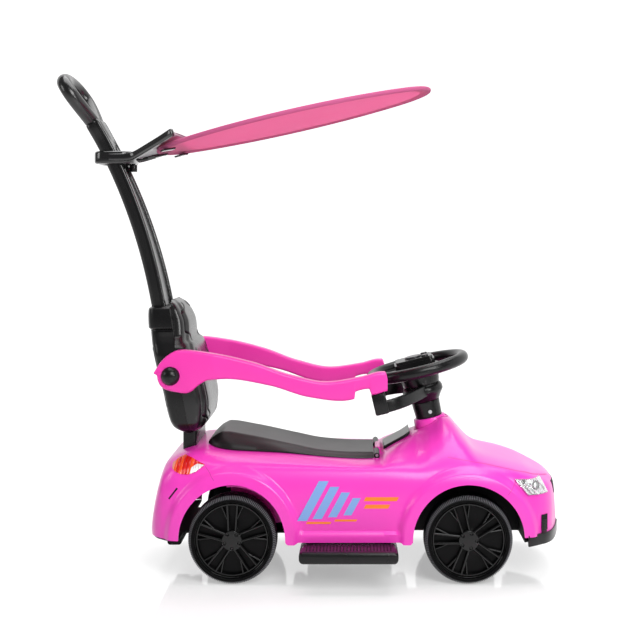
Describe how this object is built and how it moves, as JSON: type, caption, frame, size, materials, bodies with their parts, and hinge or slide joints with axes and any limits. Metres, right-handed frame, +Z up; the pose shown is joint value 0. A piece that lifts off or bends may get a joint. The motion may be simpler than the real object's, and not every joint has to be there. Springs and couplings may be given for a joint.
{
  "type": "push car with handle",
  "caption": "Ride-on push car with steered front wheels, lifting seat lid over a tub, guard arms, backrest, push handle with loop grip and a cloth sun canopy.",
  "frame": {"origin": "on the ground, at the centre of the overall length and width", "axes": "+X forwards, +Y to the car's left, +Z up"},
  "size_m": [0.8635, 0.4, 0.8504],
  "materials": {
    "pink_gloss": "gloss",
    "pink_guard": "gloss",
    "black_satin": "satin",
    "black_matte": "matte",
    "wheel_plastic": "satin",
    "button_plastic": "gloss",
    "steel": "zinc plated",
    "pink_cloth": "woven",
    "lamp_reflector": "mirror",
    "lamp_clear": "clear",
    "lamp_red": "clear red"
  },
  "bodies": {
    "car": {"body_shell": "pink_gloss", "front_wheel_liners": "black_satin", "chassis_floor": "black_matte", "chassis_screws": "steel", "storage_tub": "black_matte", "front_grille": "black_satin", "front_bumper_lip": "black_satin", "side_vents": "black_satin", "headlight_reflectors": "lamp_reflector", "headlight_lenses": "lamp_clear", "tail_light_lenses": "lamp_red", "tail_light_tips": "lamp_clear", "dash_panel": "black_satin", "seat_hinge_pin": "steel", "column_sleeve": "black_satin", "sleeve_screw": "steel", "guard_bracket": "black_satin", "rear_axle": "steel", "rear_push_nuts": "steel", "anti_tip_bracket": "black_matte", "backrest_rear_shell": "black_satin", "backrest_front_shell": "black_satin", "backrest_screws": "steel", "handle_screws": "steel", "guard_pins": "steel", "guard_knobs": "black_satin", "push_handle": "black_satin", "canopy_bracket": "black_satin", "canopy_clamp_knob": "black_satin", "canopy_fabric": "pink_cloth", "canopy_wire": "steel"},
    "steering": {"steering_wheel": "black_satin", "hub_cover": "black_satin", "sound_module": "black_matte", "steering_shaft": "steel"},
    "horn": {"horn_button": "button_plastic"},
    "melody_left": {"melody_button_left": "button_plastic"},
    "melody_right": {"melody_button_right": "button_plastic"},
    "tie_rod": {"tie_rod": "steel"},
    "knuckle_left": {"knuckle_left": "steel", "front_push_nut_left": "steel"},
    "knuckle_right": {"knuckle_right": "steel", "front_push_nut_right": "steel"},
    "seat": {"seat_lid": "black_satin"},
    "guard_left": {"guard_arm_left": "pink_guard"},
    "guard_right": {"guard_arm_right": "pink_guard"},
    "footrest_left": {"footrest_left": "black_satin"},
    "footrest_right": {"footrest_right": "black_satin"},
    "wheel_rear_left": {"wheel_rear_left": "wheel_plastic", "wheel_cover_rear_left": "wheel_plastic"},
    "wheel_rear_right": {"wheel_rear_right": "wheel_plastic", "wheel_cover_rear_right": "wheel_plastic"},
    "wheel_front_left": {"wheel_front_left": "wheel_plastic", "wheel_cover_front_left": "wheel_plastic"},
    "wheel_front_right": {"wheel_front_right": "wheel_plastic", "wheel_cover_front_right": "wheel_plastic"}
  },
  "joints": [
    {"name": "steering_turn", "type": "hinge", "parent": "car", "child": "steering", "pos_m": [0.2115, 0, 0.2515], "axis": [-0.2334, 0, 0.9724], "range_deg": [-33, 33]},
    {"name": "knuckle_left_turn", "type": "hinge", "parent": "car", "child": "knuckle_left", "pos_m": [0.267, 0.092, 0.0725], "axis": [0, 0, 1], "range_deg": [-20, 20]},
    {"name": "knuckle_right_turn", "type": "hinge", "parent": "car", "child": "knuckle_right", "pos_m": [0.267, -0.092, 0.0725], "axis": [0, 0, 1], "range_deg": [-20, 20]},
    {"name": "tie_rod_slide", "type": "slide", "parent": "car", "child": "tie_rod", "axis": [0, -1, 0], "range_m": [-0.0096, 0.0096]},
    {"name": "wheel_rear_left_roll", "type": "hinge", "parent": "car", "child": "wheel_rear_left", "pos_m": [-0.118, 0.124, 0.0725], "axis": [0, 1, 0], "continuous": true},
    {"name": "wheel_rear_right_roll", "type": "hinge", "parent": "car", "child": "wheel_rear_right", "pos_m": [-0.118, -0.124, 0.0725], "axis": [0, 1, 0], "continuous": true},
    {"name": "wheel_front_left_roll", "type": "hinge", "parent": "knuckle_left", "child": "wheel_front_left", "pos_m": [0.267, 0.124, 0.0725], "axis": [0, 1, 0], "continuous": true},
    {"name": "wheel_front_right_roll", "type": "hinge", "parent": "knuckle_right", "child": "wheel_front_right", "pos_m": [0.267, -0.124, 0.0725], "axis": [0, 1, 0], "continuous": true},
    {"name": "seat_lift", "type": "hinge", "parent": "car", "child": "seat", "pos_m": [0.119, 0, 0.197], "axis": [0, 1, 0], "range_deg": [0, 65]},
    {"name": "guard_left_lift", "type": "hinge", "parent": "car", "child": "guard_left", "pos_m": [-0.22, 0.1205, 0.338], "axis": [0, -1, 0], "range_deg": [0, 70]},
    {"name": "guard_right_lift", "type": "hinge", "parent": "car", "child": "guard_right", "pos_m": [-0.22, -0.1205, 0.338], "axis": [0, -1, 0], "range_deg": [0, 70]},
    {"name": "footrest_left_push", "type": "slide", "parent": "car", "child": "footrest_left", "axis": [0, -1, 0], "range_m": [0, 0.04]},
    {"name": "footrest_right_push", "type": "slide", "parent": "car", "child": "footrest_right", "axis": [0, 1, 0], "range_m": [0, 0.04]},
    {"name": "horn_press", "type": "slide", "parent": "steering", "child": "horn", "axis": [0.2334, 0, -0.9724], "range_m": [0, 0.002], "stiffness_N_per_m": 400},
    {"name": "melody_left_press", "type": "slide", "parent": "steering", "child": "melody_left", "axis": [0.2334, 0, -0.9724], "range_m": [0, 0.002], "stiffness_N_per_m": 300},
    {"name": "melody_right_press", "type": "slide", "parent": "steering", "child": "melody_right", "axis": [0.2334, 0, -0.9724], "range_m": [0, 0.002], "stiffness_N_per_m": 300}
  ],
  "couplings": [
    {"joint": "knuckle_left_turn", "follows": "steering_turn", "ratio": 0.60606},
    {"joint": "knuckle_right_turn", "follows": "steering_turn", "ratio": 0.60606},
    {"joint": "tie_rod_slide", "follows": "steering_turn", "m_per_rad": 0.016627}
  ]
}
